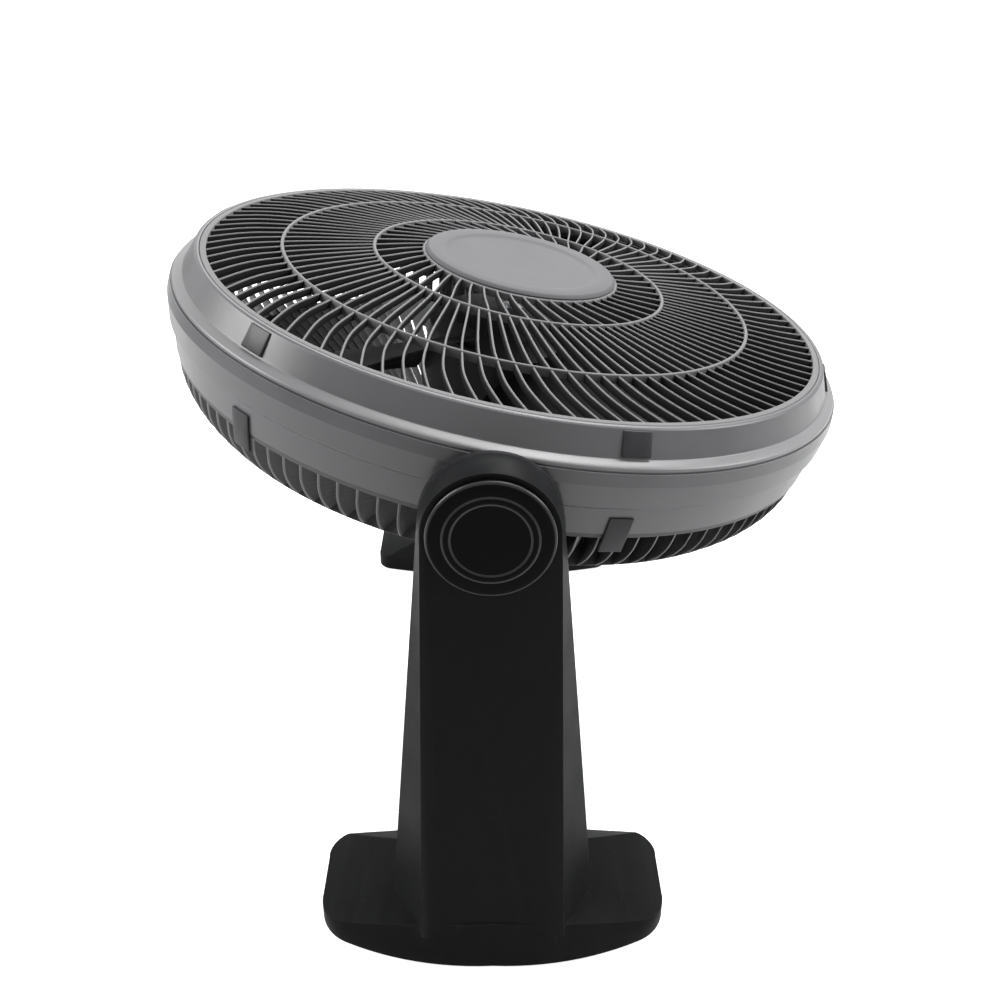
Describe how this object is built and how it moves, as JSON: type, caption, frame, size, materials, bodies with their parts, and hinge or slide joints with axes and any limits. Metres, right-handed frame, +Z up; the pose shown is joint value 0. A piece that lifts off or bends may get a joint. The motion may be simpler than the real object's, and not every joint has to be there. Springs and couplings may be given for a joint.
{
  "type": "tilting floor fan",
  "caption": "High-velocity floor fan: round dark grey guarded head that tilts between two tapering black arms on domed feet, with a swept-rib front guard and a rear speed knob",
  "frame": {"origin": "On the floor, under the middle of the whole fan's width, depth and height box in its rest pose; the pivot axis lies 14.3 mm toward -X of it", "axes": "+Z up; +Y along the tilt axis, from the near arm to the far arm; +X the way the head blows when it is upright"},
  "size_m": [0.5458, 0.6726, 0.4707],
  "materials": {
    "stand_plastic": "semi-gloss moulded plastic, near black",
    "cover_plastic": "fine-grained moulded plastic, near black",
    "cap_plastic": "satin moulded plastic, near black",
    "bridge_steel": "black powder coat",
    "shell_plastic": "semi-gloss moulded plastic, graphite grey",
    "guard_plastic": "satin moulded plastic, mid grey",
    "badge_plastic": "satin moulded plastic, light grey",
    "impeller_plastic": "satin moulded plastic, dark grey",
    "clip_plastic": "satin moulded plastic, black",
    "switch_plastic": "moulded plastic, black",
    "bushing_plastic": "natural acetal",
    "motor_paint": "black enamel",
    "cast_alloy": "die cast, satin",
    "lamination_steel": "stacked sheet edges",
    "copper_wire": "enamelled copper wire",
    "bearing_steel": "ground",
    "zinc_steel": "bright zinc",
    "black_steel": "black oxide",
    "black_rubber": "matt"
  },
  "bodies": {
    "stand": {"side_frame_far": "stand_plastic", "side_frame_near": "stand_plastic", "arm_cover_far": "cover_plastic", "arm_cover_near": "cover_plastic", "arm_cover_screws": "black_steel", "foot_plate_far": "cover_plastic", "foot_plate_near": "cover_plastic", "foot_screws": "black_steel", "rubber_feet": "black_rubber", "cross_bridge": "bridge_steel", "bridge_bolts": "black_steel", "pivot_bolt_far": "zinc_steel", "pivot_bolt_near": "zinc_steel", "pivot_nuts": "zinc_steel", "friction_washers": "black_rubber", "pivot_cap_far": "cap_plastic", "pivot_cap_near": "cap_plastic"},
    "head": {"front_grille": "guard_plastic", "centre_badge": "badge_plastic", "front_bezel": "shell_plastic", "front_clips": "clip_plastic", "head_shell": "shell_plastic", "pivot_bushings": "bushing_plastic", "rear_grille": "guard_plastic", "rear_clips": "clip_plastic", "motor_can": "motor_paint", "motor_endbell": "cast_alloy", "stator_core": "lamination_steel", "stator_windings": "copper_wire", "motor_bearings": "bearing_steel", "motor_bolts": "zinc_steel", "rear_cover": "shell_plastic", "rear_cover_screws": "black_steel", "cord_gland": "black_rubber", "speed_switch": "switch_plastic", "run_capacitor": "switch_plastic"},
    "rotor": {"motor_shaft": "bearing_steel", "rotor_core": "lamination_steel", "impeller": "impeller_plastic", "impeller_nut": "zinc_steel"},
    "knob": {"speed_knob": "clip_plastic"}
  },
  "joints": [
    {"name": "head_tilt", "type": "hinge", "parent": "stand", "child": "head", "pos_m": [-0.0143, 0, 0.36], "axis": [0, 1, 0], "range_deg": [-11.2, 78.8]},
    {"name": "impeller_spin", "type": "hinge", "parent": "head", "child": "rotor", "pos_m": [-0.00547, 0, 0.35825], "axis": [0.1942, 0, 0.981], "continuous": true},
    {"name": "speed_knob_turn", "type": "hinge", "parent": "head", "child": "knob", "pos_m": [-0.00547, 0, 0.35825], "axis": [0.1942, 0, 0.981], "range_deg": [0, 135]}
  ]
}
